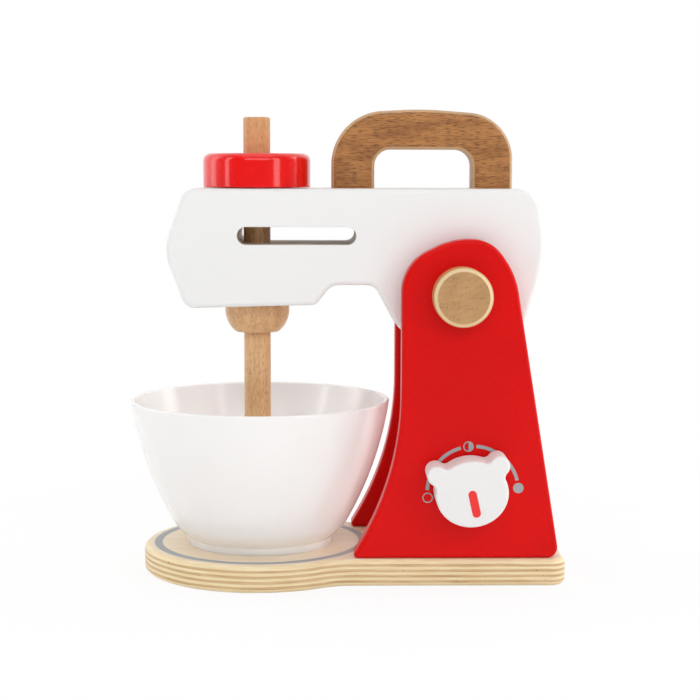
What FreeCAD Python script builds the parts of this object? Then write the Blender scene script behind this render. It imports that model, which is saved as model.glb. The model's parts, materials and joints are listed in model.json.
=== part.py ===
import FreeCAD, Part
import math
import os

# Toy stand mixer in wood. Millimetres, +Z up.
# The origin is on the table, under the beater axis. +X runs to the uprights, -Y is the front.
# A size that ends in _round is the share of a corner's shorter side that its rounding takes.

# clearances
running_clearance = 0.1
glue_gap = 0.05
body_gap = 0.3

# base board
board_thickness = 15.0
plate_radius = 65.8
plate_offset = 1.5
board_side_margin = 3.0
board_end_margin = 3.6
neck_radius = 32.0
board_corner_radius = 9.0
board_edge_radius = 3.4

# tilting head: where it turns and how far
pivot_reach = 111.1
pivot_rise = 143.3
tilt_travel = 60.0

# mixer head: heights are from the pivot, nose lengths from the beater axis
head_thickness = 65.0
head_rise = 56.8
nose_drop = 7.2
nose_underside_slope = 1.4
nose_tip_rise = 23.4
nose_tip_reach = 49.8
nose_top_reach = 38.1
nose_bottom_reach = 37.9
nose_top_round = 0.16
nose_tip_round = 0.26
nose_bottom_round = 0.15
head_edge_radius = 3.0

# relief under the head, and the lobe that hangs between the uprights
relief_start = 33.0
relief_run = 8.5
relief_rise = 11.7
relief_length = 23.4
relief_foot_round = 0.2
relief_top_round = 0.3
relief_back_round = 0.18
lobe_drop = 28.3
lobe_front = 28.8
lobe_front_round = 0.48
lobe_back = 32.0
lobe_back_round = 0.32
tail_bulge = 48.1
tail_bulge_rise = 21.7
tail_bulge_round = 0.55
tail_top = 41.6
tail_top_round = 0.3

# slot through the head
slot_left = 9.8
slot_length = 64.7
slot_height = 9.6
slot_below_top = 25.5
slot_edge_radius = 0.6

# uprights: reaches and rises are from the pivot
panel_thickness = 14.0
head_side_gap = 1.0
panel_front_reach = 31.9
panel_front_foot = 58.6
panel_back_foot = 54.8
flare_height = 46.1
flare_round = 0.82
front_shoulder_rise = 16.9
crown_rise = 30.1
crown_front_reach = 5.0
crown_back_reach = 15.4
back_shoulder_reach = 29.1
back_shoulder_rise = 12.2
front_shoulder_round = 0.52
crown_round = 0.46
back_shoulder_round = 0.5
panel_foot_round = 0.06
panel_edge_radius = 2.0

# pivot axle, its end caps and the spacer rings
axle_radius = 5.0
axle_end_edge = 0.5
cap_radius = 15.9
cap_thickness = 15.0
cap_socket = 8.0
cap_chamfer = 2.0
spacer_radius = 13.0

# limit dowel in the head, which slides in grooves inside the uprights
limit_dowel_radius = 4.0
limit_dowel_below_crown = 9.1
limit_dowel_reach = 5.5
groove_depth = 7.0

# pegs and screws between the uprights and the base
panel_peg_radius = 3.0
panel_peg_edge = 0.8
panel_peg_in_board = 9.0
panel_peg_in_panel = 14.0
panel_peg_places = (-26.0, 22.0)
screw_radius = 2.0
screw_tip_edge = 1.5
screw_head_radius = 4.0
screw_head_height = 2.5
screw_drive_radius = 1.5
screw_drive_depth = 1.5
screw_sink = 1.0
screw_in_panel = 20.0
screw_places = (-42.0, 40.0)

# carrying handle
handle_width = 100.3
handle_center = 19.4
handle_rise = 43.7
handle_apex = 50.0
handle_front_fall = 2.6
handle_back_fall = 3.7
handle_front_leg = 23.8
handle_back_leg = 22.4
handle_bar = 22.2
handle_thickness = 20.0
handle_front_round = 0.68
handle_back_round = 0.6
handle_apex_round = 0.2
handle_inner_round = 0.42
handle_edge_radius = 3.0
handle_peg_radius = 4.0
handle_peg_edge = 1.0
handle_peg_depth = 15.0

# beater rod, turning knob and chuck cup
rod_radius = 7.5
rod_top_above_knob = 20.0
rod_end_above_floor = 22.0
rod_top_edge = 1.2
rod_tip_edge = 3.0
knob_radius = 29.9
knob_height = 18.7
knob_gap = 0.5
knob_top_edge = 4.2
knob_bottom_edge = 0.6
cup_radius = 18.0
cup_band = 2.8
cup_curve = 16.1
cup_height = 15.3
cup_edge = 0.8

# bowl: a _share runs from the foot, at 0, to the rim, at 1
bowl_height = 81.8
bowl_rim_radius = 73.0
bowl_foot_radius = 41.0
bowl_middle_height_share = 0.529
bowl_middle_radius_share = 0.7
bowl_heel_height_share = 0.171
bowl_heel_radius_share = 0.283
bowl_turn_height_share = 0.102
bowl_turn_radius_share = 0.159
bowl_foot_height = 3.9
bowl_foot_width = 3.5
bowl_foot_recess = 2.2
bowl_wall = 2.4
bowl_lip_radius = 1.0

# turning dial
dial_rise = 39.4
dial_behind_pivot = 4.95
dial_tilt = 9.2
dial_thickness = 20.5
dial_gap = 1.0
dial_half_width = 19.4
dial_half_height = 17.7
ear_distance = 21.0
ear_angle = 53.5
ear_radius = 5.3
ear_root_radius = 3.5
dial_edge_radius = 1.5
pointer_tilt = 12.8
pointer_length = 10.3
pointer_half_width = 2.2
pointer_depth = 1.0
pointer_proud = 0.15
dial_peg_radius = 4.0
dial_peg_socket = 12.0
collar_radius = 9.0
collar_thickness = 5.0
dial_spacer_radius = 10.0

# angles in degrees
quarter_turn = 90.0
full_turn = 360.0

# boxes that pick edges: how far they reach, and how thin they are
pick_reach = 1000.0
pick_slack = 0.01
pick_near = 0.5

# places worked out from the sizes above
board_top = board_thickness
pivot_x = pivot_reach
pivot_z = board_top + pivot_rise
head_half = head_thickness / 2
head_top = pivot_z + head_rise
head_bottom = pivot_z - nose_drop
underside_rise = math.tan(math.radians(nose_underside_slope))
panel_inner = head_half + head_side_gap
panel_outer = panel_inner + panel_thickness
panel_middle = (panel_inner + panel_outer) / 2
board_half_width = panel_outer + board_side_margin
board_right = pivot_x + panel_back_foot + board_end_margin
spacer_thickness = head_side_gap - body_gap
limit_dowel_swing = crown_rise - limit_dowel_below_crown
limit_start = quarter_turn + tilt_travel / 2
limit_end = quarter_turn - tilt_travel / 2
slot_z = head_top - slot_below_top
handle_left = pivot_x - handle_center - handle_width / 2
handle_right = handle_left + handle_width
handle_top = head_top + handle_rise
knob_bottom = head_top + knob_gap
knob_top = knob_bottom + knob_height
rod_top = knob_top + rod_top_above_knob
cup_top = head_bottom - cup_radius * underside_rise - knob_gap
cup_bottom = cup_top - cup_height
dial_x = pivot_x + dial_behind_pivot
dial_z = board_top + dial_rise
dial_back = -(panel_outer + dial_gap)
dial_front = dial_back - dial_thickness
ORIGIN = FreeCAD.Vector(0, 0, 0)
X_AXIS = FreeCAD.Vector(1, 0, 0)
Y_AXIS = FreeCAD.Vector(0, 1, 0)
Z_AXIS = FreeCAD.Vector(0, 0, 1)


def save(node, shape):
    """Write one sub-part to its own STEP file."""
    shape.exportStep("parts/" + node + ".step")


def upright_round(x, y, radius, low, high):
    """A cylinder along Z."""
    return Part.makeCylinder(radius, high - low, FreeCAD.Vector(x, y, low), Z_AXIS)


def cross_round(x, z, radius, near, far):
    """A cylinder along Y, from near to far."""
    return Part.makeCylinder(radius, far - near, FreeCAD.Vector(x, near, z), Y_AXIS)


def side_point(x, z):
    """A point of a side outline, in the plane Y = 0."""
    return FreeCAD.Vector(x, 0, z)


def polar_point(center_x, center_z, radius, degrees):
    """A point at an angle round a centre, in the plane Y = 0."""
    angle = math.radians(degrees)
    return side_point(center_x + radius * math.cos(angle), center_z + radius * math.sin(angle))


def line(start, end):
    """A straight stretch of a side outline."""
    return Part.LineSegment(side_point(*start), side_point(*end)).toShape()


def arc(start, middle, end):
    """A round stretch of a side outline, through three points."""
    return Part.Arc(side_point(*start), side_point(*middle), side_point(*end)).toShape()


def corner_rounding(before, here, after, share):
    """Start, middle and end of the tangent arc that rounds a corner."""
    to_before = before - here
    to_after = after - here
    setback = share * min(to_before.Length, to_after.Length)
    to_before.normalize()
    to_after.normalize()
    half_angle = to_before.getAngle(to_after) / 2
    radius = setback * math.tan(half_angle)
    middle_way = (to_before + to_after).normalize()
    middle = here + middle_way * (radius / math.sin(half_angle) - radius)
    return here + to_before * setback, middle, here + to_after * setback


def rounded_wire(corners):
    """A closed side outline from corners (x, z, round), where round is a share."""
    points = [side_point(x, z) for x, z, share in corners]
    ends = []
    for index, (x, z, share) in enumerate(corners):
        here = points[index]
        after = points[(index + 1) % len(points)]
        if share == 0:
            ends.append((here, None, here))
        else:
            ends.append(corner_rounding(points[index - 1], here, after, share))
    edges = []
    for index, (start, middle, end) in enumerate(ends):
        next_start = ends[(index + 1) % len(ends)][0]
        if middle is not None:
            edges.append(Part.Arc(start, middle, end).toShape())
        edges.append(Part.LineSegment(end, next_start).toShape())
    return Part.Wire(edges)


def side_plate(wire, near, far):
    """A side outline made into a plate from Y = near to Y = far."""
    face = Part.Face(wire)
    face.translate(FreeCAD.Vector(0, near, 0))
    return face.extrude(FreeCAD.Vector(0, far - near, 0))


def turned(edges, x):
    """A half profile in the plane Y = 0, turned about an upright axis and moved to x."""
    solid = Part.Face(Part.Wire(edges)).revolve(ORIGIN, Z_AXIS, full_turn)
    solid.translate(FreeCAD.Vector(x, 0, 0))
    return solid


def long_round(start, end, radius, near, far):
    """A bar with round ends along a side line, from Y = near to Y = far."""
    along = end - start
    bar = Part.makeBox(along.Length, far - near, 2 * radius, FreeCAD.Vector(0, near, -radius))
    bar = bar.fuse(cross_round(0, 0, radius, near, far))
    bar = bar.fuse(cross_round(along.Length, 0, radius, near, far)).removeSplitter()
    bar.rotate(ORIGIN, Y_AXIS, -math.degrees(math.atan2(along.z, along.x)))
    bar.translate(start)
    return bar


def edges_between(shape, low, high):
    """The edges that lie wholly inside a box."""
    room = FreeCAD.BoundBox(*low, *high)
    return [edge for edge in shape.Edges if room.isInside(edge.BoundBox)]


def edges_on_face(shape, y, low_z, high_z):
    """The edges in the plane Y = y, between two heights."""
    low = (-pick_reach, y - pick_slack, low_z)
    high = (pick_reach, y + pick_slack, high_z)
    return edges_between(shape, low, high)


def edges_on_faces(shape, half, low_z, high_z):
    """The edges in the planes Y = -half and Y = half, between two heights."""
    front = edges_on_face(shape, -half, low_z, high_z)
    return front + edges_on_face(shape, half, low_z, high_z)


def edges_at_height(shape, z):
    """The edges in the plane Z = z."""
    low = (-pick_reach, -pick_reach, z - pick_slack)
    high = (pick_reach, pick_reach, z + pick_slack)
    return edges_between(shape, low, high)


def upright_edges(shape, x, y):
    """The straight edges along Z that pass near a place."""
    low = (x - pick_near, y - pick_near, -pick_reach)
    high = (x + pick_near, y + pick_near, pick_reach)
    return edges_between(shape, low, high)


def ring_y(x, z, outer, inner, near, far):
    """A flat ring about an axis along Y."""
    return cross_round(x, z, outer, near, far).cut(cross_round(x, z, inner, near, far))


def mirrored(shape):
    """The same piece on the other side of the plane Y = 0."""
    return shape.mirror(ORIGIN, Y_AXIS)


def dowel_along_y(x, z, radius, half, edge):
    """A dowel from Y = -half to Y = half with chamfered ends."""
    dowel = cross_round(x, z, radius, -half, half)
    return dowel.makeChamfer(edge, edges_on_faces(dowel, half, z - 2 * radius, z + 2 * radius))


def upright_dowel(x, y, radius, low, high, edge):
    """A dowel along Z with chamfered ends."""
    dowel = upright_round(x, y, radius, low, high)
    return dowel.makeChamfer(edge, edges_at_height(dowel, low) + edges_at_height(dowel, high))


def make_base_board():
    plate = upright_round(plate_offset, 0, plate_radius, 0, board_thickness)
    corner = FreeCAD.Vector(plate_offset, -board_half_width, 0)
    length = board_right - plate_offset
    bar = Part.makeBox(length, 2 * board_half_width, board_thickness, corner)
    board = plate.fuse(bar).removeSplitter()
    neck_x = plate_offset + math.sqrt(plate_radius ** 2 - board_half_width ** 2)
    for x, radius in ((neck_x, neck_radius), (board_right, board_corner_radius)):
        corners = upright_edges(board, x, -board_half_width)
        corners += upright_edges(board, x, board_half_width)
        board = board.makeFillet(radius, corners)
    rims = edges_at_height(board, 0) + edges_at_height(board, board_thickness)
    board = board.makeFillet(board_edge_radius, rims)
    head_seat = screw_sink + screw_head_height
    for y in (-panel_middle, panel_middle):
        for place in panel_peg_places:
            low = board_top - panel_peg_in_board - body_gap
            x = pivot_x + place
            board = board.cut(upright_round(x, y, panel_peg_radius + glue_gap, low, board_top))
        for place in screw_places:
            x = pivot_x + place
            board = board.cut(upright_round(x, y, screw_radius + glue_gap, 0, board_top))
            board = board.cut(upright_round(x, y, screw_head_radius + body_gap, 0, head_seat))
    return board


def panel_wire():
    """Outline of an upright: flared front foot, crooked crown, and a back that slopes out."""
    front = pivot_x - panel_front_reach
    crown = pivot_z + crown_rise
    corners = (
        (pivot_x - panel_front_foot, board_top, panel_foot_round),
        (front, board_top + flare_height, flare_round),
        (front, pivot_z + front_shoulder_rise, front_shoulder_round),
        (pivot_x - crown_front_reach, crown, crown_round),
        (pivot_x + crown_back_reach, crown, crown_round),
        (pivot_x + back_shoulder_reach, pivot_z + back_shoulder_rise, back_shoulder_round),
        (pivot_x + panel_back_foot, board_top, panel_foot_round),
    )
    return rounded_wire(corners)


def limit_groove(near, far):
    """A groove with round ends along the limit dowel's path about the pivot."""
    half_width = limit_dowel_radius + body_gap
    outer = limit_dowel_swing + half_width
    inner = limit_dowel_swing - half_width

    def at(reach, degrees):
        return polar_point(pivot_x, pivot_z, reach, degrees)

    def tip(degrees, side):
        hub = at(limit_dowel_swing, degrees)
        return polar_point(hub.x, hub.z, half_width, degrees + side * quarter_turn)

    start = limit_start
    middle = quarter_turn
    end = limit_end
    edges = (
        Part.Arc(at(outer, start), at(outer, middle), at(outer, end)).toShape(),
        Part.Arc(at(outer, end), tip(end, -1), at(inner, end)).toShape(),
        Part.Arc(at(inner, end), at(inner, middle), at(inner, start)).toShape(),
        Part.Arc(at(inner, start), tip(start, 1), at(outer, start)).toShape(),
    )
    return side_plate(Part.Wire(edges), near, far)


def make_plain_panel():
    panel = side_plate(panel_wire(), -panel_outer, -panel_inner)
    low = board_top + pick_slack
    high = pivot_z + crown_rise + pick_slack
    rims = edges_on_face(panel, -panel_outer, 0, high)
    rims += edges_on_face(panel, -panel_inner, 0, high)
    rims = [edge for edge in rims if edge.BoundBox.ZMax > low]
    panel = panel.makeFillet(panel_edge_radius, rims)
    axle_bore = axle_radius + glue_gap
    panel = panel.cut(cross_round(pivot_x, pivot_z, axle_bore, -panel_outer, -panel_inner))
    panel = panel.cut(limit_groove(-panel_inner - groove_depth, -panel_inner))
    peg_top = board_top + panel_peg_in_panel + body_gap
    screw_top = board_top + screw_in_panel + body_gap
    for place in panel_peg_places:
        x = pivot_x + place
        hole = upright_round(x, -panel_middle, panel_peg_radius + glue_gap, board_top, peg_top)
        panel = panel.cut(hole)
    for place in screw_places:
        x = pivot_x + place
        hole = upright_round(x, -panel_middle, screw_radius + glue_gap, board_top, screw_top)
        panel = panel.cut(hole)
    return panel


def drill_dial_bore(panel):
    bore = dial_peg_radius + running_clearance
    return panel.cut(cross_round(dial_x, dial_z, bore, -panel_outer, -panel_inner))


def make_panel_pegs():
    low = board_top - panel_peg_in_board
    high = board_top + panel_peg_in_panel
    pegs = []
    for y in (-panel_middle, panel_middle):
        for place in panel_peg_places:
            x = pivot_x + place
            pegs.append(upright_dowel(x, y, panel_peg_radius, low, high, panel_peg_edge))
    return Part.makeCompound(pegs)


def make_screw(x, y):
    """A countersunk screw that goes up through the board into an upright."""
    tip_z = board_top + screw_in_panel
    shank = upright_round(x, y, screw_radius, screw_sink, tip_z)
    shank = shank.makeChamfer(screw_tip_edge, edges_at_height(shank, tip_z))
    seat = FreeCAD.Vector(x, y, screw_sink)
    head = Part.makeCone(screw_head_radius, screw_radius, screw_head_height, seat, Z_AXIS)
    drive_top = screw_sink + screw_drive_depth
    drive = upright_round(x, y, screw_drive_radius, screw_sink, drive_top)
    return head.fuse(shank).removeSplitter().cut(drive)


def make_panel_screws():
    screws = []
    for y in (-panel_middle, panel_middle):
        for place in screw_places:
            screws.append(make_screw(pivot_x + place, y))
    return Part.makeCompound(screws)


def make_pivot_axle():
    return dowel_along_y(pivot_x, pivot_z, axle_radius, panel_outer + cap_socket, axle_end_edge)


def make_axle_cap():
    back = -panel_outer
    front = back - cap_thickness
    cap = cross_round(pivot_x, pivot_z, cap_radius, front, back)
    rim = edges_on_face(cap, front, pivot_z - 2 * cap_radius, pivot_z + 2 * cap_radius)
    cap = cap.makeChamfer(cap_chamfer, rim)
    socket = cap_socket + body_gap
    return cap.cut(cross_round(pivot_x, pivot_z, axle_radius + glue_gap, back - socket, back))


def make_head_spacer():
    bore = axle_radius + glue_gap
    near = -panel_inner
    return ring_y(pivot_x, pivot_z, spacer_radius, bore, near, near + spacer_thickness)


def head_wire():
    """Outline of the head: pointed nose, relief underneath, lobe round the pivot, bulged tail."""
    relief_top = head_bottom + relief_rise
    relief_back = relief_start + relief_run + relief_length
    nose_low = head_bottom - nose_bottom_reach * underside_rise
    relief_low = head_bottom + relief_start * underside_rise
    corners = (
        (-nose_top_reach, head_top, nose_top_round),
        (-nose_tip_reach, pivot_z + nose_tip_rise, nose_tip_round),
        (-nose_bottom_reach, nose_low, nose_bottom_round),
        (relief_start, relief_low, relief_foot_round),
        (relief_start + relief_run, relief_top, relief_top_round),
        (relief_back, relief_top, relief_back_round),
        (pivot_x - lobe_front, pivot_z - lobe_drop, lobe_front_round),
        (pivot_x + lobe_back, pivot_z - lobe_drop, lobe_back_round),
        (pivot_x + tail_bulge, pivot_z + tail_bulge_rise, tail_bulge_round),
        (pivot_x + tail_top, head_top, tail_top_round),
    )
    return rounded_wire(corners)


def limit_place():
    return polar_point(pivot_x, pivot_z, limit_dowel_swing, limit_start)


def make_mixer_head():
    head = side_plate(head_wire(), -head_half, head_half)
    head = head.makeFillet(head_edge_radius, edges_on_faces(head, head_half, 0, pick_reach))
    slot_half = slot_height / 2
    slot_start = side_point(slot_half - slot_left, slot_z)
    slot_end = side_point(slot_length - slot_left - slot_half, slot_z)
    head = head.cut(long_round(slot_start, slot_end, slot_half, -head_half, head_half))
    slot_low = slot_z - slot_half - pick_near
    slot_high = slot_z + slot_half + pick_near
    slot_rims = edges_on_faces(head, head_half, slot_low, slot_high)
    head = head.makeFillet(slot_edge_radius, slot_rims)
    head = head.cut(upright_round(0, 0, rod_radius + running_clearance, cup_bottom, head_top))
    axle_bore = axle_radius + running_clearance
    head = head.cut(cross_round(pivot_x, pivot_z, axle_bore, -head_half, head_half))
    dowel = limit_place()
    dowel_bore = limit_dowel_radius + glue_gap
    head = head.cut(cross_round(dowel.x, dowel.z, dowel_bore, -head_half, head_half))
    low = head_top - handle_peg_depth - body_gap
    for x in handle_peg_centers():
        head = head.cut(upright_round(x, 0, handle_peg_radius + glue_gap, low, head_top))
    return head


def make_limit_dowel():
    place = limit_place()
    half = head_half + head_side_gap + limit_dowel_reach
    return dowel_along_y(place.x, place.z, limit_dowel_radius, half, axle_end_edge)


def handle_peg_centers():
    return (handle_left + handle_front_leg / 2, handle_right - handle_back_leg / 2)


def make_carry_handle():
    gap_top = handle_top - handle_bar
    gap_left = handle_left + handle_front_leg
    gap_right = handle_right - handle_back_leg
    corners = (
        (handle_left, head_top, 0),
        (handle_left, handle_top - handle_front_fall, handle_front_round),
        (handle_left + handle_apex, handle_top, handle_apex_round),
        (handle_right, handle_top - handle_back_fall, handle_back_round),
        (handle_right, head_top, 0),
        (gap_right, head_top, 0),
        (gap_right, gap_top, handle_inner_round),
        (gap_left, gap_top, handle_inner_round),
        (gap_left, head_top, 0),
    )
    half = handle_thickness / 2
    handle = side_plate(rounded_wire(corners), -half, half)
    rims = edges_on_faces(handle, half, 0, pick_reach)
    rims = [edge for edge in rims if edge.BoundBox.ZMax > head_top + pick_slack]
    handle = handle.makeFillet(handle_edge_radius, rims)
    high = head_top + handle_peg_depth + body_gap
    for x in handle_peg_centers():
        handle = handle.cut(upright_round(x, 0, handle_peg_radius + glue_gap, head_top, high))
    return handle


def make_handle_pegs():
    low = head_top - handle_peg_depth
    high = head_top + handle_peg_depth
    pegs = []
    for x in handle_peg_centers():
        pegs.append(upright_dowel(x, 0, handle_peg_radius, low, high, handle_peg_edge))
    return Part.makeCompound(pegs)


def make_turning_knob():
    knob = upright_round(0, 0, knob_radius, knob_bottom, knob_top)
    knob = knob.makeFillet(knob_top_edge, edges_at_height(knob, knob_top))
    knob = knob.makeFillet(knob_bottom_edge, edges_at_height(knob, knob_bottom))
    return knob.cut(upright_round(0, 0, rod_radius + glue_gap, knob_bottom, knob_top))


def make_beater_rod():
    in_foot = bowl_inner_points()[-1]
    rod_end = in_foot[1] + rod_end_above_floor
    rod = upright_round(0, 0, rod_radius, rod_end, rod_top)
    rod = rod.makeFillet(rod_top_edge, edges_at_height(rod, rod_top))
    return rod.makeFillet(rod_tip_edge, edges_at_height(rod, rod_end))


def make_chuck_cup():
    """A straight band at the top, then a quarter curve in to a flat end."""
    band_bottom = cup_top - cup_band
    drop = cup_height - cup_band
    hub = cup_radius - cup_curve
    end_radius = hub + math.sqrt(cup_curve ** 2 - drop ** 2)
    half_way = math.asin(drop / cup_curve) / 2
    middle_radius = hub + cup_curve * math.cos(half_way)
    middle_z = band_bottom - cup_curve * math.sin(half_way)
    edges = (
        line((0, cup_top), (cup_radius, cup_top)),
        line((cup_radius, cup_top), (cup_radius, band_bottom)),
        arc((cup_radius, band_bottom), (middle_radius, middle_z), (end_radius, cup_bottom)),
        line((end_radius, cup_bottom), (0, cup_bottom)),
        line((0, cup_bottom), (0, cup_top)),
    )
    cup = turned(edges, 0)
    cup = cup.makeFillet(cup_edge, edges_at_height(cup, cup_top) + edges_at_height(cup, cup_bottom))
    return cup.cut(upright_round(0, 0, rod_radius + glue_gap, cup_bottom, cup_top))


def toward(center, point, distance):
    """A profile point moved towards a centre."""
    reach = math.hypot(point[0] - center[0], point[1] - center[1])
    share = (reach - distance) / reach
    x = center[0] + (point[0] - center[0]) * share
    z = center[1] + (point[1] - center[1]) * share
    return (x, z)


def arc_center(start, middle, end):
    """The centre of the round stretch through three points."""
    center = arc(start, middle, end).Curve.Center
    return (center.x, center.z)


def bowl_point(radius_share, height_share):
    """A point of the bowl's outside, between its foot and its rim."""
    radius = bowl_foot_radius + radius_share * (bowl_rim_radius - bowl_foot_radius)
    return (radius, board_top + height_share * bowl_height)


def bowl_outer_points():
    rim = bowl_point(1, 1)
    middle = bowl_point(bowl_middle_radius_share, bowl_middle_height_share)
    heel = bowl_point(bowl_heel_radius_share, bowl_heel_height_share)
    turn = bowl_point(bowl_turn_radius_share, bowl_turn_height_share)
    foot = (bowl_foot_radius, board_top + bowl_foot_height)
    return rim, middle, heel, turn, foot


def bowl_inner_points():
    """The inside of the wall, a wall thickness in from the outside."""
    rim, middle, heel, turn, foot = bowl_outer_points()
    side_center = arc_center(rim, middle, heel)
    heel_center = arc_center(heel, turn, foot)
    inner_rim = toward(side_center, rim, bowl_wall)
    inner_middle = toward(side_center, middle, bowl_wall)
    inner_heel = toward(side_center, heel, bowl_wall)
    inner_turn = toward(heel_center, turn, bowl_wall)
    inner_foot = toward(heel_center, foot, bowl_wall)
    return inner_rim, inner_middle, inner_heel, inner_turn, inner_foot


def make_mixing_bowl():
    rim, middle, heel, turn, foot = bowl_outer_points()
    in_rim, in_middle, in_heel, in_turn, in_foot = bowl_inner_points()
    foot_corner = (bowl_foot_radius, board_top)
    outer_edges = (
        arc(rim, middle, heel),
        arc(heel, turn, foot),
        line(foot, foot_corner),
        line(foot_corner, (0, board_top)),
        line((0, board_top), (0, rim[1])),
        line((0, rim[1]), rim),
    )
    inner_edges = (
        arc(in_rim, in_middle, in_heel),
        arc(in_heel, in_turn, in_foot),
        line(in_foot, (0, in_foot[1])),
        line((0, in_foot[1]), (0, in_rim[1])),
        line((0, in_rim[1]), in_rim),
    )
    recess_radius = bowl_foot_radius - bowl_foot_width
    underside = board_top + bowl_foot_recess
    recess = upright_round(plate_offset, 0, recess_radius, board_top, underside)
    bowl = turned(outer_edges, plate_offset).cut(turned(inner_edges, plate_offset)).cut(recess)
    return bowl.makeFillet(bowl_lip_radius, edges_at_height(bowl, rim[1]))


def dial_place(shape, tilt):
    """Turn a piece of the dial to its rest angle and put it at the dial's centre."""
    shape.rotate(ORIGIN, -Y_AXIS, tilt)
    shape.translate(side_point(dial_x, dial_z))
    return shape


def pointer_bar(half_width, near):
    """The pointer's bar, which runs down from the dial's centre."""
    end = side_point(0, -pointer_length)
    return long_round(ORIGIN, end, half_width, near, dial_front + pointer_depth)


def make_control_dial():
    """A round animal head with two ears and no face."""
    oval = Part.Ellipse(ORIGIN, dial_half_width, dial_half_height)
    face = Part.Face(Part.Wire(oval.toShape()))
    face.rotate(ORIGIN, X_AXIS, quarter_turn)
    face.translate(FreeCAD.Vector(0, dial_front, 0))
    dial = face.extrude(FreeCAD.Vector(0, dial_thickness, 0))
    for side in (-1, 1):
        ear = polar_point(0, 0, ear_distance, quarter_turn + side * ear_angle)
        dial = dial.fuse(cross_round(ear.x, ear.z, ear_radius, dial_front, dial_back))
    dial = dial.removeSplitter()
    ear_reach = ear_distance + ear_radius
    roots = []
    for edge in dial.Edges:
        box = edge.BoundBox
        through = box.YLength > dial_thickness - pick_near
        straight = box.XLength < pick_slack and box.ZLength < pick_slack
        seam = abs(box.XMin) > dial_half_width or box.ZMax < pick_near
        if through and straight and not seam:
            roots.append(edge)
    dial = dial.makeFillet(ear_root_radius, roots)
    dial = dial.makeFillet(dial_edge_radius, edges_on_face(dial, dial_front, -ear_reach, ear_reach))
    dial = dial_place(dial, dial_tilt)
    pocket = pointer_bar(pointer_half_width + glue_gap, dial_front)
    dial = dial.cut(dial_place(pocket, pointer_tilt))
    socket = dial_back - dial_peg_socket - body_gap
    return dial.cut(cross_round(dial_x, dial_z, dial_peg_radius + glue_gap, socket, dial_back))


def make_dial_pointer():
    return dial_place(pointer_bar(pointer_half_width, dial_front - pointer_proud), pointer_tilt)


def make_dial_peg():
    near = dial_back - dial_peg_socket
    far = -panel_inner + body_gap + collar_thickness
    return cross_round(dial_x, dial_z, dial_peg_radius, near, far)


def make_dial_collar():
    near = -panel_inner + body_gap
    bore = dial_peg_radius + glue_gap
    return ring_y(dial_x, dial_z, collar_radius, bore, near, near + collar_thickness)


def make_dial_spacer():
    near = -panel_outer - (dial_gap - body_gap)
    bore = dial_peg_radius + running_clearance
    return ring_y(dial_x, dial_z, dial_spacer_radius, bore, near, -panel_outer)


def main():
    os.makedirs("parts", exist_ok=True)
    plain_panel = make_plain_panel()
    cap = make_axle_cap()
    spacer = make_head_spacer()
    save("base_board", make_base_board())
    save("front_panel", drill_dial_bore(plain_panel))
    save("rear_panel", mirrored(plain_panel))
    save("panel_pegs", make_panel_pegs())
    save("panel_screws", make_panel_screws())
    save("pivot_axle", make_pivot_axle())
    save("axle_cap_front", cap)
    save("axle_cap_rear", mirrored(cap))
    save("head_spacer_front", spacer)
    save("head_spacer_rear", mirrored(spacer))
    save("mixer_head", make_mixer_head())
    save("limit_dowel", make_limit_dowel())
    save("carry_handle", make_carry_handle())
    save("handle_pegs", make_handle_pegs())
    save("turning_knob", make_turning_knob())
    save("beater_rod", make_beater_rod())
    save("chuck_cup", make_chuck_cup())
    save("mixing_bowl", make_mixing_bowl())
    save("control_dial", make_control_dial())
    save("dial_pointer", make_dial_pointer())
    save("dial_peg", make_dial_peg())
    save("dial_collar", make_dial_collar())
    save("dial_spacer", make_dial_spacer())


main()
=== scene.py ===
# %% [markdown]
# # A wooden toy stand mixer
# The toy is cut from solid wood and plywood, painted red and white, with a loose plastic bowl.
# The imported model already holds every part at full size, so this script never moves or reshapes
# one. It adds what they lack: a material for each finish, two prints, a floor, lights and a camera.

# %% Load the model
import json
import math
import bmesh
import bpy
from mathutils import Matrix, Vector


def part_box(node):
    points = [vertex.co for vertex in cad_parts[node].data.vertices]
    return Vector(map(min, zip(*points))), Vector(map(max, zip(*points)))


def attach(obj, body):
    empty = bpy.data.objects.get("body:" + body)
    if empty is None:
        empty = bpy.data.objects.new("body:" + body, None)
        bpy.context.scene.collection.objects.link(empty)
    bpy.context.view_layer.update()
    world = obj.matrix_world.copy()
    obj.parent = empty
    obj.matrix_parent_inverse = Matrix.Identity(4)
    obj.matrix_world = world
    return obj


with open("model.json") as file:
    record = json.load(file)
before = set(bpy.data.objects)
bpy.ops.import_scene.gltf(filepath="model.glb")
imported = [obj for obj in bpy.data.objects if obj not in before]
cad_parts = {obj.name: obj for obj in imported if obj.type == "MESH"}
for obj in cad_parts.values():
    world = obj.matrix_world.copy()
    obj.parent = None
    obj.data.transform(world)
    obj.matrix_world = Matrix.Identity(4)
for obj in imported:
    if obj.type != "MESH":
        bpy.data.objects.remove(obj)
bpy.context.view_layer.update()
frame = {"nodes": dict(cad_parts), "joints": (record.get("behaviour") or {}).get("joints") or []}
nodes = frame["nodes"]
MM = 0.001
print("parts in the model:", len(nodes))

# %% [markdown]
# ## Where things are
# Places come from the model: the beater axis is the origin, the pivot and the dial are read from
# their joints, and faces are read from the boxes of the parts.

# %% Read the main places
joint_place = {joint["name"]: Vector(joint.get("pos_m", (0, 0, 0))) for joint in frame["joints"]}
pivot = joint_place["head_tilt"]
dial_axis = joint_place["dial_turn"]
board_low, board_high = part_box("base_board")
panel_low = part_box("front_panel")[0]
head_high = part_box("mixer_head")[1]
print("pivot at", tuple(round(value, 4) for value in pivot))

# %% [markdown]
# ## Shader maths as expressions
# Wood, paint and plies are built from a few formulas. Wiring each Math node by hand hides them, so
# a small class wraps a socket and lets Python's operators add the nodes.

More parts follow.
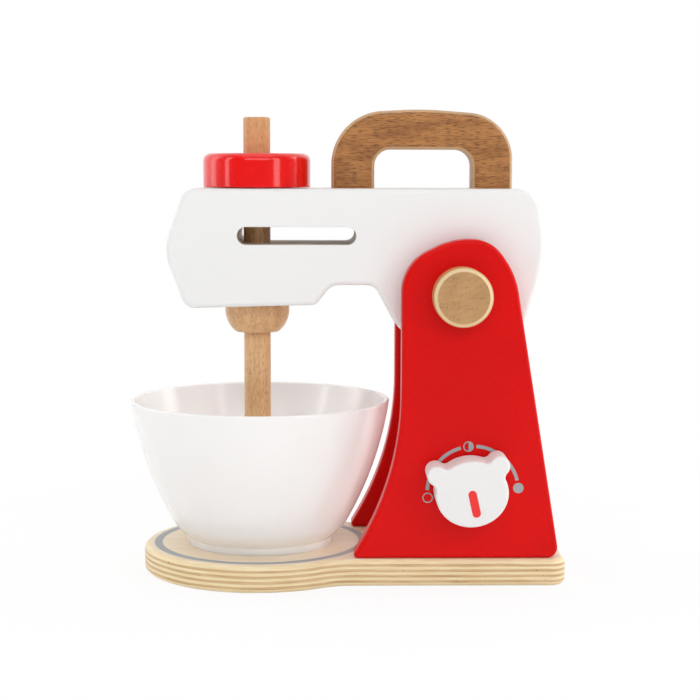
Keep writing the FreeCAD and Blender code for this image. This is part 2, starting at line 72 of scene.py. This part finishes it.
# %% A socket that does sums
NOISE_LOW = 0.3
NOISE_HIGH = 0.7


class Field:
    """One number over a surface, held by a shader socket."""

    def __init__(self, paint, socket):
        self.paint = paint
        self.socket = socket

    def math(self, operation, *others, clamp=False):
        settings = {"operation": operation, "use_clamp": clamp}
        values = dict(enumerate((self,) + others))
        return self.paint.add("ShaderNodeMath", settings, values)

    def __add__(self, other):
        return self.math("ADD", other)

    __radd__ = __add__

    def __sub__(self, other):
        return self.math("SUBTRACT", other)

    def __rsub__(self, other):
        return (self * -1) + other

    def __mul__(self, other):
        return self.math("MULTIPLY", other)

    __rmul__ = __mul__

    def __gt__(self, other):
        return self.math("GREATER_THAN", other)

    def __lt__(self, other):
        return self.math("LESS_THAN", other)

    def clamped(self):
        return self.math("ADD", 0.0, clamp=True)

    def smooth(self, low=NOISE_LOW, high=NOISE_HIGH):
        """0 below low, 1 above high, with a soft step that spans most of a noise by default."""
        settings = {"interpolation_type": "SMOOTHSTEP"}
        return self.paint.add("ShaderNodeMapRange", settings, {0: self, 1: low, 2: high})


print("a noise is spread between", NOISE_LOW, "and", NOISE_HIGH)

# %% [markdown]
# Every other node comes from one method, add. It takes the kind of node, its settings, and the
# numbers or links of its inputs. A material and the world are both such a tree of nodes. The Mix
# node has sockets for each type of value, so the numbers of its colour sockets get names.

# %% A node tree that is built by calls
MIX_SHARE, MIX_FIRST, MIX_SECOND, MIX_RESULT = 0, 6, 7, 2


class Nodes:
    """A shader's nodes, for a material or for the world."""

    def __init__(self, tree):
        self.tree = tree

    def add(self, kind, settings=None, values=None, output=0):
        node = self.tree.nodes.new(kind)
        for key, value in (settings or {}).items():
            if key == "stops":
                self.set_stops(node.color_ramp, value)
            else:
                setattr(node, key, value)
        for key, value in (values or {}).items():
            self.put(node.inputs[key], value)
        return Field(self, node.outputs[output])

    def put(self, socket, value):
        if isinstance(value, Field):
            self.tree.links.new(value.socket, socket)
        else:
            socket.default_value = value

    def set_stops(self, ramp, stops):
        while len(ramp.elements) < len(stops):
            ramp.elements.new(1.0)
        for element, (position, color) in zip(ramp.elements, stops):
            element.position = position
            element.color = color

    def mix(self, share, first, second, blend="MIX"):
        """A colour between two others."""
        settings = {"data_type": "RGBA", "blend_type": blend}
        values = {MIX_SHARE: share, MIX_FIRST: first, MIX_SECOND: second}
        return self.add("ShaderNodeMix", settings, values, output=MIX_RESULT)

    def split(self, vector):
        """The three parts of a vector."""
        first = self.add("ShaderNodeSeparateXYZ", None, {0: vector})
        return [Field(self, part) for part in first.socket.node.outputs]


print("colour sockets of a Mix node:", MIX_FIRST, MIX_SECOND)

# %% [markdown]
# A material is a tree round one Principled shader. Its textures use Object coordinates, so grain is
# laid out in metres and stays on a part that moves. Colours are written as they look on a screen.

# %% A material
class Paint(Nodes):
    """A material with one Principled shader, laid out in the object's own coordinates."""

    def __init__(self, name):
        self.material = bpy.data.materials.new(name)
        self.material.use_nodes = True
        super().__init__(self.material.node_tree)
        self.shader = self.tree.nodes["Principled BSDF"]
        self.place = self.add("ShaderNodeTexCoord", output="Object")
        self.color = None  # the base colour, kept where another layer goes over it

    def axes(self):
        """The three Object coordinates, in metres."""
        return self.split(self.place)

    def stretched(self, sizes, turn=(0, 0, 0), shift=(0, 0, 0)):
        """Object coordinates divided by a grain size, in metres, for all axes or for each."""
        if not isinstance(sizes, (tuple, list)):
            sizes = (sizes, sizes, sizes)
        scale = [1 / size for size in sizes]
        values = {"Vector": self.place, "Location": shift, "Rotation": turn, "Scale": scale}
        return self.add("ShaderNodeMapping", {"vector_type": "POINT"}, values)

    def noise(self, sizes, detail=2.0, roughness=0.5, turn=(0, 0, 0), shift=(0, 0, 0)):
        """Cloudy noise from 0 to 1, whose blobs have one size, or one along each axis."""
        vector = self.stretched(sizes, turn, shift)
        values = {"Vector": vector, "Scale": 1.0, "Detail": detail, "Roughness": roughness}
        return self.add("ShaderNodeTexNoise", None, values)

    def surface(self, **values):
        """Set sockets of the Principled shader, named in lower case."""
        for key, value in values.items():
            name = key.replace("_", " ").title().replace("Ior", "IOR")
            self.put(self.shader.inputs[name], value)

    def relief(self, height, depth):
        """Small bumps: height runs from 0 to 1, depth is in metres."""
        values = {"Strength": 1.0, "Distance": depth, "Height": height}
        self.surface(normal=self.add("ShaderNodeBump", None, values))


def srgb(red, green, blue):
    """A colour as seen on a screen, 0 to 255, as the linear colour that shaders use."""
    linear = []
    for value in (red, green, blue):
        share = value / 255
        linear.append(share / 12.92 if share <= 0.04045 else ((share + 0.055) / 1.055) ** 2.4)
    return (*linear, 1.0)


PURE_WHITE = (1.0, 1.0, 1.0, 1.0)
print("middle grey as a linear value:", round(srgb(128, 128, 128)[0], 3))

# %% [markdown]
# ## Paint on wood
# The uprights are sprayed red, and the head and dial white. Sprayed paint has a faint orange peel
# and small changes in gloss. A fine noise drives the bump and the roughness. A slow one, with some
# of the fine one, drives the colour, because a single flat colour looks like plastic.

# %% Satin paints
PAINT_SHINE = 0.16
PAINT_PEEL = 0.02 * MM
GLOSS_CHANGE = 0.05
BROAD_SHARE = 0.6
FINE_SHARE = 0.4
RED_COAT = (srgb(226, 5, 4), srgb(209, 4, 3), 0.34)
WHITE = srgb(240, 240, 239)
WHITE_COAT = (WHITE, srgb(237, 237, 237), 0.46)


def satin_paint(name, color, deep, roughness):
    paint = Paint(name)
    slow = paint.noise(90 * MM, detail=3.0)
    fine = paint.noise(1.1 * MM, detail=2.0)
    tone = slow.smooth(0.3, 0.75) * BROAD_SHARE + fine.smooth(0.35, 0.65) * FINE_SHARE
    paint.surface(base_color=paint.mix(tone, deep, color))
    paint.surface(roughness=fine * GLOSS_CHANGE + (roughness - GLOSS_CHANGE / 2))
    paint.surface(specular_ior_level=PAINT_SHINE)
    paint.relief(fine, PAINT_PEEL)
    return paint


red_paint = satin_paint("red_paint", *RED_COAT)
white_paint = satin_paint("white_paint", *WHITE_COAT)
print("satin paints:", red_paint.material.name, white_paint.material.name)

# %% [markdown]
# The head is drilled through and slotted, and the inside of the slot is given a darker, warmer
# colour than the white faces. The mask is a box in Object coordinates round the slot, a little
# inside the head's two faces, so the sprayed faces keep their white. Outside it the head is one
# plain white.

# %% The head's paint, with a warmer slot
SLOT_FROM_TOP = 25.5 * MM
SLOT_HALF = 5.6 * MM
SLOT_LEFT = -10.6 * MM
SLOT_RIGHT = 56.0 * MM
SLOT_FADE_START = 0.5 * MM
SLOT_FADE_END = 3 * MM
# Two tones, darker and warmer than the white, for inside the slot.
SLOT_INSIDE_TONES = (srgb(204, 186, 168), srgb(224, 210, 196))


def slotted_paint(name):
    paint = satin_paint(name, *WHITE_COAT)
    x, y, z = paint.axes()
    from_middle = (z - (head_high.z - SLOT_FROM_TOP)).math("ABSOLUTE")
    depth = (head_high.y - y.math("ABSOLUTE")).smooth(SLOT_FADE_START, SLOT_FADE_END)
    inside = (from_middle < SLOT_HALF) * (x > SLOT_LEFT) * (x < SLOT_RIGHT) * depth
    thin = paint.noise((0.02, 0.02, 0.002), detail=3.0)
    warm = paint.mix(thin.smooth(), *SLOT_INSIDE_TONES)
    paint.surface(base_color=paint.mix(inside, WHITE, warm))
    return paint


head_paint = slotted_paint("head_paint")
print("slot middle in mm:", round((head_high.z - SLOT_FROM_TOP) / MM, 1))

# %% [markdown]
# ## Glossy lacquer
# The turning knob carries a thick glossy lacquer that mirrors the lamps as upright streaks. A coat
# over a red base does that better than a low roughness alone. The bowl is moulded in white plastic
# that lets a little light through, so its shaded side stays light. Subsurface scattering does that.
# The same plain recipe serves the pointer, the nylon rings, the steel screws and the grey ink.

# %% Lacquer and smooth plastics
LACQUER_PEEL = 0.04 * MM
MOULD_GRAIN = 0.01 * MM
GLOW_SHARE = 0.5
GLOW_DEPTH = 8 * MM
GLOW_TINT = (1.0, 0.95, 0.9)


def glossy_lacquer(name, color, deep):
    paint = Paint(name)
    slow = paint.noise(30 * MM, detail=2.0)
    fine = paint.noise(4 * MM, detail=1.0)
    paint.surface(base_color=paint.mix(slow.smooth(), deep, color))
    speck = paint.noise((0.0007, 0.0007, 0.0009), detail=2.0)
    paint.surface(roughness=fine * 0.04 + 0.26)
    paint.surface(specular_ior_level=0.2, coat_weight=0.8, coat_roughness=0.09)
    paint.relief(fine * BROAD_SHARE + speck * FINE_SHARE, LACQUER_PEEL)
    return paint


def moulded(name, color, deep, roughness):
    paint = Paint(name)
    slow = paint.noise(50 * MM, detail=2.0)
    fine = paint.noise(0.8 * MM, detail=1.0)
    paint.surface(base_color=paint.mix(slow.smooth(), deep, color))
    paint.surface(roughness=fine * 0.06 + roughness)
    paint.relief(fine, MOULD_GRAIN)
    return paint


red_gloss = glossy_lacquer("red_gloss", srgb(242, 12, 12), srgb(234, 8, 8))
white_bowl = moulded("white_bowl", srgb(252, 250, 248), srgb(251, 248, 246), 0.12)
white_bowl.surface(subsurface_weight=GLOW_SHARE, subsurface_scale=GLOW_DEPTH)
white_bowl.surface(subsurface_radius=GLOW_TINT)
nylon = moulded("nylon", srgb(232, 230, 222), srgb(222, 220, 210), 0.5)
pointer_red = moulded("pointer_red", srgb(245, 48, 42), srgb(238, 42, 36), 0.45)
zinc_steel = moulded("zinc_steel", srgb(190, 192, 196), srgb(160, 162, 166), 0.3)
zinc_steel.surface(metallic=1.0)
print_grey = moulded("print_grey", srgb(168, 171, 175), srgb(162, 165, 169), 0.55)
print("lacquer and plastics:", red_gloss.material.name, white_bowl.material.name)

# %% [markdown]
# ## Solid wood
# Beech shows fine fibres along the grain, wide soft bands, and many short dark flecks. Each is one
# noise stretched along the grain, and the flecks are the peaks of a finer one. The same recipe
# with other colours and another grain direction makes the rod, the cup, the handle and the dowels.
# A second layer paints a highlight by the handle's edges, and the knob's red reflection on the rod.

# %% Grain along an axis
ALONG_X, ALONG_Y, ALONG_Z = range(3)
WOOD_RELIEF = 0.05 * MM
BAND_TILT = 0.12
TOP_BLEND = 10 * MM
# The colour of the painted highlight beside the handle's rounded edges.
EDGE_HIGHLIGHT_TINT = srgb(226, 190, 146)
# The tint of the red knob's painted reflection on the rod above the head.
KNOB_REFLECTION_TINT = srgb(240, 214, 182)


def grain_sizes(axis, across, along):
    """Noise sizes that are long along one axis and short across it."""
    sizes = [across, across, across]
    sizes[axis] = along
    return sizes


def solid_wood(name, axis, colors, fleck_share=0.62, fleck_length=4.8 * MM, strength=0.6):
    light, dark, fleck = colors
    paint = Paint(name)
    wave = paint.noise(20 * MM, detail=2.0, shift=(5.0, 2.0, 3.0))
    tilted = (0.0, BAND_TILT, 0.0)
    bands = paint.noise(grain_sizes(axis, 0.0048, 0.036), detail=3.0, roughness=0.6, turn=tilted)
    fibres = paint.noise(grain_sizes(axis, 0.0006, 0.016), detail=4.0, roughness=0.7)
    flecks = paint.noise(grain_sizes(axis, 0.0005, fleck_length), detail=0.5)
    tone = (bands + wave * 0.3).smooth(0.48, 0.82) * BROAD_SHARE + fibres.smooth(0.32, 0.68) * FINE_SHARE
    mark = flecks.smooth(fleck_share, fleck_share + 0.05)
    gleam = flecks.smooth(0.38, 0.30)
    base = paint.mix(tone, dark, light)
    base = paint.mix(gleam * 0.5, base, light)
    paint.color = paint.mix(mark * strength, base, fleck)
    paint.surface(base_color=paint.color)
    paint.surface(roughness=fibres * 0.12 + 0.32)
    paint.relief(fibres * 0.6 - mark, WOOD_RELIEF)
    return paint


def painted_edge_highlight(paint, half, color):
    """Beside the rounded edges, a pale line is painted on: a painted highlight."""
    y = paint.axes()[ALONG_Y]
    depth = half - y.math("ABSOLUTE")
    # A band just inside the front and back faces, where the painted highlight goes.
    line = depth.smooth(0.2 * MM, 0.7 * MM) * depth.smooth(2.6 * MM, 1.6 * MM)
    paint.surface(base_color=paint.mix(line * 0.6, paint.color, color))


def painted_knob_reflection(paint, height, color):
    """Above a height, the wood is tinted orange: a painted reflection of the red knob."""
    z = paint.axes()[ALONG_Z]
    above = z.smooth(height - TOP_BLEND, height + TOP_BLEND)
    paint.surface(base_color=paint.mix(above * 0.55, paint.color, color, blend="MULTIPLY"))


handle_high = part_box("carry_handle")[1]
beech_colors = (srgb(188, 128, 68), srgb(138, 84, 38), srgb(78, 42, 16))
beech = solid_wood(
    "beech", ALONG_X, beech_colors, fleck_share=0.575, fleck_length=4.0 * MM, strength=0.62
)
# The handle gets a painted highlight beside its rounded edges.
painted_edge_highlight(beech, handle_high.y, EDGE_HIGHLIGHT_TINT)
rod_colors = (srgb(234, 190, 140), srgb(206, 158, 108), srgb(140, 92, 50))
rod_wood = solid_wood(
    "rod_wood", ALONG_Z, rod_colors, fleck_share=0.61, fleck_length=2.6 * MM, strength=0.42
)
# The rod above the head is tinted orange: a painted reflection of the red knob.
painted_knob_reflection(rod_wood, head_high.z, KNOB_REFLECTION_TINT)
dowel_colors = (srgb(214, 176, 130), srgb(196, 152, 104), srgb(150, 108, 68))
dowel_wood = solid_wood("dowel_wood", ALONG_Y, dowel_colors)
print("woods:", beech.material.name, rod_wood.material.name)

# %% [markdown]
# ## End grain
# The round caps over the pivot are cut across the grain. There the fibres are dots, and the year
# rings are faint arcs. The ring centre lies outside the cap, as it does in a turned blank.

# %% Axle cap
HEART_LEFT = 18 * MM
HEART_ABOVE = 50 * MM
YEAR_RING = 3.1 * MM
RING_WAVER = 1.6 * MM
CAP_ROUNDING = 2.0 * MM


def end_grain(name, face, dark, pore, edge, side, face_radius, side_radius):
    paint = Paint(name)
    x, _, z = paint.axes()
    across = x - pivot.x
    up = z - pivot.z
    from_pivot = (across * across + up * up).math("SQRT")
    heart_x = across + HEART_LEFT
    heart_z = up - HEART_ABOVE
    heart = (heart_x * heart_x + heart_z * heart_z).math("SQRT")
    waver = paint.noise(6 * MM, detail=2.0)
    rings = ((heart + waver * RING_WAVER) * (2 * math.pi / YEAR_RING)).math("SINE")
    speckle = paint.noise(0.6 * MM, detail=3.0, roughness=0.7)
    pores = paint.noise((0.0005, 0.004, 0.0005), detail=1.0)
    rows = paint.noise((0.012, 0.012, 0.0022), detail=1.0, shift=(2.0, 0.0, 5.0))
    cloud = paint.noise(10 * MM, detail=3.0)
    tone = rings * 0.10 + speckle.smooth() * 0.45 + cloud.smooth() * 0.45
    base = paint.mix(tone.clamped(), dark, face)
    base = paint.mix(pores.smooth(0.58, 0.66) * rows.smooth(0.45, 0.6) * 0.75, base, pore)
    # A painted highlight on the rounded rim, and on the side wall side grain with painted shade and a
    # painted red reflection.
    rim = from_pivot.smooth(face_radius - 0.4 * MM, face_radius + 0.3 * MM)
    wall = from_pivot.smooth(side_radius - 0.6 * MM, side_radius - 0.2 * MM)
    base = paint.mix(rim, base, edge)
    paint.surface(base_color=paint.mix(wall, base, side))
    paint.surface(roughness=speckle * 0.15 + 0.42)
    paint.relief(speckle, WOOD_RELIEF)
    return paint


cap_low, cap_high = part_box("axle_cap_front")
cap_side_radius = (cap_high.x - cap_low.x) / 2
cap_face_radius = cap_side_radius - CAP_ROUNDING
cap_wood = end_grain(
    "cap_wood",
    face=srgb(196, 155, 104),
    dark=srgb(176, 133, 84),
    pore=srgb(120, 80, 44),
    # A painted highlight on the rounded rim.
    edge=srgb(230, 202, 158),
    # Side grain on the side wall, with painted shade and a painted reflection of the red panel.
    side=srgb(204, 152, 98),
    face_radius=cap_face_radius,
    side_radius=cap_side_radius,
)
print("cap face radius in mm:", round(cap_face_radius / MM, 2))

# %% [markdown]
# ## Birch plywood
# The base is cut from plywood. Its edge shows nine plies: long-grain plies are pale and smooth,
# cross plies show tan end grain, and the two outer plies are thicker. The ply follows from the
# height, with a slight waver, so the rounded edge cuts through the plies as a router does. The top
# ply has its own fine figure.

# %% Plies by height
PLY_COUNT = 9
INNER_PLY = 1.49 * MM
PLY_WAVER = 0.5
PLY_RELIEF = 0.04 * MM
FACE_START = 0.25 * MM
FACE_FULL = 0.05 * MM
PALE_PLY = (srgb(240, 214, 164), srgb(251, 236, 198))
TAN_PLY = (srgb(210, 174, 124), srgb(232, 202, 156))
TAN_STREAK = srgb(190, 148, 98)
GLUE_LINE = srgb(180, 136, 88)
PLY_VOID = srgb(96, 62, 30)
TOP_PLY = (srgb(230, 208, 178), srgb(244, 230, 206))


def birch_plywood(name):
    paint = Paint(name)
    z = paint.axes()[ALONG_Z]
    middle_height = (board_low.z + board_high.z) / 2
    waver = paint.noise(30 * MM, detail=2.0)
    level = (z - middle_height) * (1 / INNER_PLY) + waver * PLY_WAVER - PLY_WAVER / 2
    inner = level.math("ABSOLUTE") < (PLY_COUNT - 2) / 2
    wave = (level * math.pi).math("COSINE")
    cross = (wave * -1).smooth(-0.1, 0.5) * inner
    glue = wave.math("ABSOLUTE").smooth(0.45, 0.15) * inner
    streak = paint.noise((0.014, 0.014, 0.0005), detail=3.0, roughness=0.6)
    broad = paint.noise((0.03, 0.03, 0.0016), detail=2.0)
    pale = paint.mix(streak.smooth(), *PALE_PLY)
    tan = paint.mix(streak.smooth(), *TAN_PLY)
    tan = paint.mix(broad.smooth(0.45, 0.7) * 0.6, tan, TAN_STREAK)
    edge = paint.mix(cross, pale, tan)
    edge = paint.mix(glue * 0.2, edge, GLUE_LINE)
    voids = paint.noise((0.0035, 0.0035, 0.0007), detail=1.0, shift=(3.0, 1.0, 7.0))
    edge = paint.mix(voids.smooth(0.74, 0.79) * cross, edge, PLY_VOID)
    figure = paint.noise((0.09, 0.004, 0.02), detail=4.0, roughness=0.6)
    fibre = paint.noise((0.012, 0.0005, 0.01), detail=3.0, roughness=0.6)
    face_tone = figure.smooth() * BROAD_SHARE + fibre.smooth() * FINE_SHARE
    face = paint.mix(face_tone, *TOP_PLY)
    on_face = z.smooth(board_high.z - FACE_START, board_high.z - FACE_FULL)
    paint.surface(base_color=paint.mix(on_face, edge, face))
    paint.surface(roughness=fibre * 0.10 + 0.40)
    paint.relief(fibre * 0.5 + glue * -0.5, PLY_RELIEF)
    return paint


plywood = birch_plywood("birch_plywood")
print("plywood plies:", PLY_COUNT)

# %% [markdown]
# ## Dress the parts
# Each part in the model has one material slot, so one table of names is enough.

# %% Give every part its finish
finishes = {
    "base_board": plywood,
    "front_panel": red_paint,
    "rear_panel": red_paint,
    "panel_pegs": dowel_wood,
    "panel_screws": zinc_steel,
    "pivot_axle": dowel_wood,
    "axle_cap_front": cap_wood,
    "axle_cap_rear": cap_wood,
    "head_spacer_front": nylon,
    "head_spacer_rear": nylon,
    "mixer_head": head_paint,
    "limit_dowel": dowel_wood,
    "carry_handle": beech,
    "handle_pegs": dowel_wood,
    "turning_knob": red_gloss,
    "beater_rod": rod_wood,
    "chuck_cup": rod_wood,
    "mixing_bowl": white_bowl,
    "control_dial": white_paint,
    "dial_pointer": pointer_red,
    "dial_peg": dowel_wood,
    "dial_collar": nylon,
    "dial_spacer": nylon,
}


def dress(piece, paint):
    piece.data.materials.clear()
    piece.data.materials.append(paint.material)


for node, paint in finishes.items():
    dress(nodes[node], paint)
print("parts dressed:", len(finishes))

# %% [markdown]
# ## Prints
# Two grey prints lie on the toy: a ring on the base that shows where the bowl stands, and the
# dial's scale. A print is a very thin layer, so each is a thin piece spun about its own centre.
# A spun strip keeps its edge sharp from any distance, where a painted texture would blur.

# %% A spun strip
PRINT_THICKNESS = 0.06 * MM
PRINT_LIFT = 0.02 * MM
FULL_TURN = 360
QUARTER_TURN = 90
DEGREES_PER_STEP = 3
FEWEST_STEPS = 8
MERGE_DISTANCE = 1e-7


def new_piece(name, mesh_builder, body, paint):
    """Make a mesh object from a bmesh and let it ride on a body of the model."""
    mesh = bpy.data.meshes.new(name)
    mesh_builder.to_mesh(mesh)
    mesh_builder.free()
    piece = bpy.data.objects.new(name, mesh)
    bpy.context.scene.collection.objects.link(piece)
    mesh.materials.append(paint.material)
    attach(piece, body)
    return piece


def strip(builder, inner, outer, start, end, place):
    """Add a flat strip from one angle to another, spun about the local Z axis."""
    earlier = set(builder.verts)
    full = end - start >= FULL_TURN
    corners = ((inner, 0), (outer, 0), (outer, PRINT_THICKNESS), (inner, PRINT_THICKNESS))
    turn = Matrix.Rotation(math.radians(start), 4, "Z")
    verts = [builder.verts.new(turn @ Vector((reach, 0, height))) for reach, height in corners]
    source = [builder.edges.new((verts[index - 1], verts[index])) for index in range(4)] + verts
    if not full:
        source.append(builder.faces.new(verts))
    bmesh.ops.spin(
        builder,
        geom=source,
        cent=(0, 0, 0),
        axis=(0, 0, 1),
        angle=math.radians(end - start),
        steps=max(FEWEST_STEPS, int((end - start) / DEGREES_PER_STEP)),
        use_merge=full,
        use_duplicate=False,
    )
    made = [vert for vert in builder.verts if vert not in earlier]
    bmesh.ops.remove_doubles(builder, verts=made, dist=MERGE_DISTANCE)
    made = [vert for vert in builder.verts if vert not in earlier]
    bmesh.ops.recalc_face_normals(builder, faces=builder.faces)
    bmesh.ops.transform(builder, matrix=place, verts=made)


RING_RADIUS = 58.1 * MM
RING_WIDTH = 4.4 * MM
bowl_low, bowl_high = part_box("mixing_bowl")
bowl_x = (bowl_low.x + bowl_high.x) / 2
ring_builder = bmesh.new()
ring_place = Matrix.Translation((bowl_x, 0, board_high.z + PRINT_LIFT))
ring_inner = RING_RADIUS - RING_WIDTH / 2
ring_outer = RING_RADIUS + RING_WIDTH / 2
strip(ring_builder, ring_inner, ring_outer, 0, FULL_TURN, ring_place)
base_ring = new_piece("base_ring_print", ring_builder, "base", print_grey)
print("ring faces:", len(base_ring.data.polygons))

# %% [markdown]
# The scale above the dial is an arc with a round mark at each end and one in its middle: an open,
# a half filled and a filled one. Each is spun in its own place on the arc's line, and the arc keeps
# the same short gap to each.

# %% The dial's scale
SCALE_OFFSET = Vector((2.1 * MM, 0, -2.3 * MM))
SCALE_RADIUS = 24.75 * MM
SCALE_WIDTH = 1.87 * MM
MARK_RADIUS = 2.85 * MM
MARK_LINE = 0.6 * MM
MARK_GAP = 1.4 * MM
MARK_ANGLES = (4.2, 96.0, 188.1)
arc_gap = math.degrees((MARK_RADIUS + MARK_GAP) / SCALE_RADIUS)
facing_front = Matrix.Rotation(math.radians(QUARTER_TURN), 4, "X")
scale_center = Vector((dial_axis.x, panel_low.y - PRINT_LIFT, dial_axis.z)) + SCALE_OFFSET
scale_place = Matrix.Translation(scale_center) @ facing_front
scale_builder = bmesh.new()
arc_inner = SCALE_RADIUS - SCALE_WIDTH / 2
arc_outer = SCALE_RADIUS + SCALE_WIDTH / 2
for start, end in zip(MARK_ANGLES, MARK_ANGLES[1:]):
    strip(scale_builder, arc_inner, arc_outer, start + arc_gap, end - arc_gap, scale_place)


def mark_place(degrees):
    angle = math.radians(degrees)
    offset = Vector((math.cos(angle), math.sin(angle), 0)) * SCALE_RADIUS
    return scale_place @ Matrix.Translation(offset)


full_mark, half_mark, open_mark = (mark_place(degrees) for degrees in MARK_ANGLES)
mark_inner = MARK_RADIUS - MARK_LINE
strip(scale_builder, 0, MARK_RADIUS, 0, FULL_TURN, full_mark)
strip(scale_builder, mark_inner, MARK_RADIUS, QUARTER_TURN, 3 * QUARTER_TURN, half_mark)
strip(scale_builder, 0, MARK_RADIUS, -QUARTER_TURN, QUARTER_TURN, half_mark)
strip(scale_builder, mark_inner, MARK_RADIUS, 0, FULL_TURN, open_mark)
dial_scale = new_piece("dial_scale_print", scale_builder, "base", print_grey)
print("scale faces:", len(dial_scale.data.polygons))

# %% [markdown]
# ## Floor, lamps and camera
# The toy stands on a white floor that keeps a soft shadow. Plain white is mixed in for the camera's
# rays, and for glossy and transmission rays, so that the floor also looks white in a gloss. The
# lamps can then stay at a level where colours look as written.

# %% Floor
FLOOR_SIZE = 6.0
FLOOR_COLOR = (0.93, 0.93, 0.93, 1.0)
FLOOR_NEAR = 0.88
NEAR_REACH = 0.14
FAR_REACH = 0.40


def floor_material():
    """White, and brightened for the camera: most far away, a little less beside the toy."""
    paint = Paint("floor_white")
    paint.surface(base_color=FLOOR_COLOR, roughness=0.9)
    x, y, _ = paint.axes()
    aside = x - pivot.x / 2
    reach = (aside * aside + y * y).math("SQRT")
    whitening = reach.smooth(NEAR_REACH, FAR_REACH) * (1 - FLOOR_NEAR) + FLOOR_NEAR
    seen = paint.add("ShaderNodeLightPath", output="Is Camera Ray")
    for kind in ("Is Glossy Ray", "Is Transmission Ray"):
        seen = seen + paint.add("ShaderNodeLightPath", output=kind)
    glow = paint.add("ShaderNodeEmission", None, {"Color": PURE_WHITE, "Strength": 1.0})
    values = {0: seen.clamped() * whitening, 1: Field(paint, paint.shader.outputs[0]), 2: glow}
    blend = paint.add("ShaderNodeMixShader", None, values)
    paint.put(paint.tree.nodes["Material Output"].inputs["Surface"], blend)
    return paint.material


floor_builder = bmesh.new()
bmesh.ops.create_grid(floor_builder, x_segments=1, y_segments=1, size=FLOOR_SIZE / 2)
floor_mesh = bpy.data.meshes.new("floor")
floor_builder.to_mesh(floor_mesh)
floor_builder.free()
floor = bpy.data.objects.new("floor", floor_mesh)
bpy.context.scene.collection.objects.link(floor)
floor_mesh.materials.append(floor_material())
print("floor size in m:", FLOOR_SIZE)

# %% [markdown]
# A photographer stands the toy in front of a lit white wall and keeps the side behind the camera
# dark. Faces that look at the camera then show their own colour without haze, and rounded edges,
# which mirror the wall at a low angle, get a thin pale line. The camera itself sees plain white all
# round.

# %% World
SKY_FRONT = 0.10
SKY_BEHIND = 1.0
SKY_BLEND = 0.45
world = bpy.data.worlds.new("studio")
world.use_nodes = True
bpy.context.scene.world = world
sky = Nodes(world.node_tree)
direction = sky.add("ShaderNodeTexCoord", output="Generated")
behind = sky.split(direction)[ALONG_Y].smooth(-SKY_BLEND, SKY_BLEND)
strength = behind * (SKY_BEHIND - SKY_FRONT) + SKY_FRONT
light = sky.add("ShaderNodeBackground", None, {"Color": PURE_WHITE, "Strength": strength})
backdrop = sky.add("ShaderNodeBackground", None, {"Color": PURE_WHITE, "Strength": 1.0})
seen = sky.add("ShaderNodeLightPath", output="Is Camera Ray")
chosen = sky.add("ShaderNodeMixShader", None, {0: seen, 1: light, 2: backdrop})
sky.put(world.node_tree.nodes["World Output"].inputs["Surface"], chosen)
print("world strength, front and behind:", SKY_FRONT, SKY_BEHIND)

# %% [markdown]
# Soft boxes light the toy, as in a photographer's tent. A tall narrow one on the left and one on
# the right draw upright streaks on the round knob, a broad one in front lights the bowl, and one
# overhead lights the tops. Two more stand beside the toy and a little behind it, for the edges and
# ends that turn away. Together they leave white paint a little darker than pure white.

# %% Lamps
AIM = Vector((0.05, 0.0, 0.13))
SOFT_BOXES = (
    # name, place and width and height in metres, watts
    ("left", (-1.16, -0.58, 0.62), (0.24, 1.2), 2.8),
    ("right", (0.98, -0.98, 0.58), (0.34, 1.1), 3.8),
    ("front", (0.10, -1.35, 0.85), (1.5, 0.6), 7.6),
    ("rim right", (1.10, 0.22, 0.35), (0.35, 1.2), 4.5),
    ("rim left", (-1.10, 0.25, 0.45), (0.35, 1.2), 2.0),
    ("top", (0.05, -0.40, 1.5), (1.3, 1.0), 3.9),
)


def softbox(name, place, size, watts):
    """A rectangular area lamp that points at the toy."""
    data = bpy.data.lights.new(name, "AREA")
    data.shape = "RECTANGLE"
    data.size, data.size_y = size
    data.energy = watts
    lamp = bpy.data.objects.new(name, data)
    bpy.context.scene.collection.objects.link(lamp)
    lamp.location = place
    lamp.rotation_euler = (AIM - Vector(place)).to_track_quat("-Z", "Y").to_euler()


for soft_box in SOFT_BOXES:
    softbox(*soft_box)
print("lamps:", len(SOFT_BOXES))

# %% [markdown]
# The camera stands a little less than a metre in front of the toy, about level with the top of the
# head, and looks slightly down. Its place and angles come from a fit of the base plate, the bowl's
# rim, the uprights and the slot to the photograph.

# %% Camera
FOCAL_PIXELS = 1655
IMAGE_PIXELS = 700
SENSOR = 36.0
camera_place = Vector((0.0355, -0.930, 0.2254))
YAW, PITCH, ROLL = (math.radians(angle) for angle in (1.03, 6.22, 0.13))
ahead = Vector((math.sin(YAW) * math.cos(PITCH), math.cos(YAW) * math.cos(PITCH), -math.sin(PITCH)))
level_right = Vector((math.cos(YAW), -math.sin(YAW), 0))
level_up = level_right.cross(ahead)
right = level_right * math.cos(ROLL) + level_up * math.sin(ROLL)
up = level_up * math.cos(ROLL) - level_right * math.sin(ROLL)
camera_data = bpy.data.cameras.new("camera")
camera_data.sensor_width = SENSOR
camera_data.sensor_fit = "HORIZONTAL"
camera_data.lens = SENSOR * FOCAL_PIXELS / IMAGE_PIXELS
camera = bpy.data.objects.new("camera", camera_data)
bpy.context.scene.collection.objects.link(camera)
turn = Matrix((right, up, -ahead)).transposed().to_4x4()
camera.matrix_world = Matrix.Translation(camera_place) @ turn
bpy.context.scene.camera = camera
bpy.context.scene.view_settings.view_transform = "Standard"
print("lens in mm:", round(camera_data.lens, 1))
